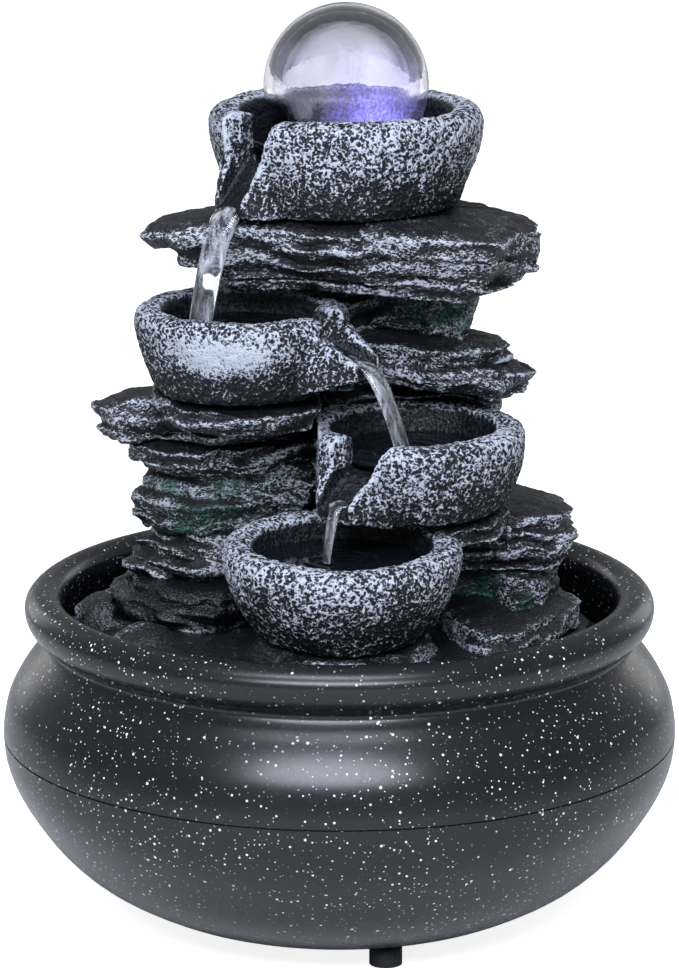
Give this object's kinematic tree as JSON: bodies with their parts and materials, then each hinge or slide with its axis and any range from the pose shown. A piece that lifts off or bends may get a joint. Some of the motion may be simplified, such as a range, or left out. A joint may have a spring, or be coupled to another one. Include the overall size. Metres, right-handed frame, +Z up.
{
  "type": "tabletop fountain",
  "caption": "Round speckled basin with a tower of stacked slates, spouted stone bowls and a lit glass ball, fed by a small submersible pump.",
  "frame": {"origin": "on the table, under the middle of the round basin", "axes": "+Z up; the lowest bowl faces -Y, the front; +X is the viewer's right"},
  "size_m": [0.208, 0.208, 0.2828],
  "materials": {
    "basin": "satin",
    "black_rubber": "matte",
    "pump_case": "satin",
    "white_ceramic": "satin",
    "lead_jacket": "satin",
    "connector": "satin",
    "impeller_plastic": "satin",
    "magnet": "satin",
    "slate": "satin",
    "slate_green": "satin",
    "bowl_stone": "matte",
    "clear_tube": "gloss",
    "led_case": "satin",
    "circuit_board": "satin",
    "led_light": "gloss",
    "lens": "gloss",
    "seat_rubber": "satin",
    "crystal": "polished",
    "water": "polished"
  },
  "bodies": {
    "basin": {"basin_lower_shell": "basin", "basin_upper_shell": "basin", "basin_gasket": "black_rubber", "rubber_feet": "black_rubber", "cable_grommet": "black_rubber", "pump_housing": "pump_case", "pump_volute": "pump_case", "intake_cover": "pump_case", "suction_cups": "black_rubber", "rotor_shaft": "white_ceramic", "shaft_bushes": "black_rubber", "pump_lead": "lead_jacket", "led_socket": "connector"},
    "impeller": {"impeller": "impeller_plastic", "rotor_magnet": "magnet"},
    "flow_adjuster": {"flow_adjuster": "impeller_plastic"},
    "tower": {"rock_skirt": "slate", "slate_left_foot": "slate", "slate_left_low": "slate", "slate_left_mid": "slate_green", "slate_left_ledge": "slate", "slate_left_high": "slate", "slate_right_foot": "slate", "slate_right_neck": "slate_green", "slate_right_low": "slate", "slate_back": "slate", "slate_upper": "slate", "slate_upper_neck": "slate_green", "slate_crown": "slate", "rock_spine": "slate", "top_bowl": "bowl_stone", "left_bowl": "bowl_stone", "right_bowl": "bowl_stone", "front_bowl": "bowl_stone", "riser_tube": "clear_tube", "led_housing": "led_case", "led_board": "circuit_board", "led_chips": "led_light", "led_lens": "lens", "led_lead": "lead_jacket", "led_plug": "connector"},
    "ball_seat": {"ball_seat": "seat_rubber"},
    "ball": {"crystal_ball": "crystal"}
  },
  "joints": [
    {"name": "impeller_spin", "type": "hinge", "parent": "basin", "child": "impeller", "pos_m": [0.003, 0.02, 0.028], "axis": [0, 1, 0], "continuous": true},
    {"name": "flow_adjust", "type": "hinge", "parent": "basin", "child": "flow_adjuster", "pos_m": [0.003, 0.045, 0.028], "axis": [0, 1, 0], "range_deg": [0, 22.5]},
    {"name": "tower_lift", "type": "slide", "parent": "basin", "child": "tower", "axis": [0, 0, 1], "range_m": [0, 0.12]},
    {"name": "seat_lift", "type": "slide", "parent": "tower", "child": "ball_seat", "axis": [0, 0, 1], "range_m": [0, 0.04]},
    {"name": "ball_roll", "type": "hinge", "parent": "ball_seat", "child": "ball", "pos_m": [0.002, 0.01, 0.2578], "axis": [1, 0, 0], "continuous": true}
  ]
}
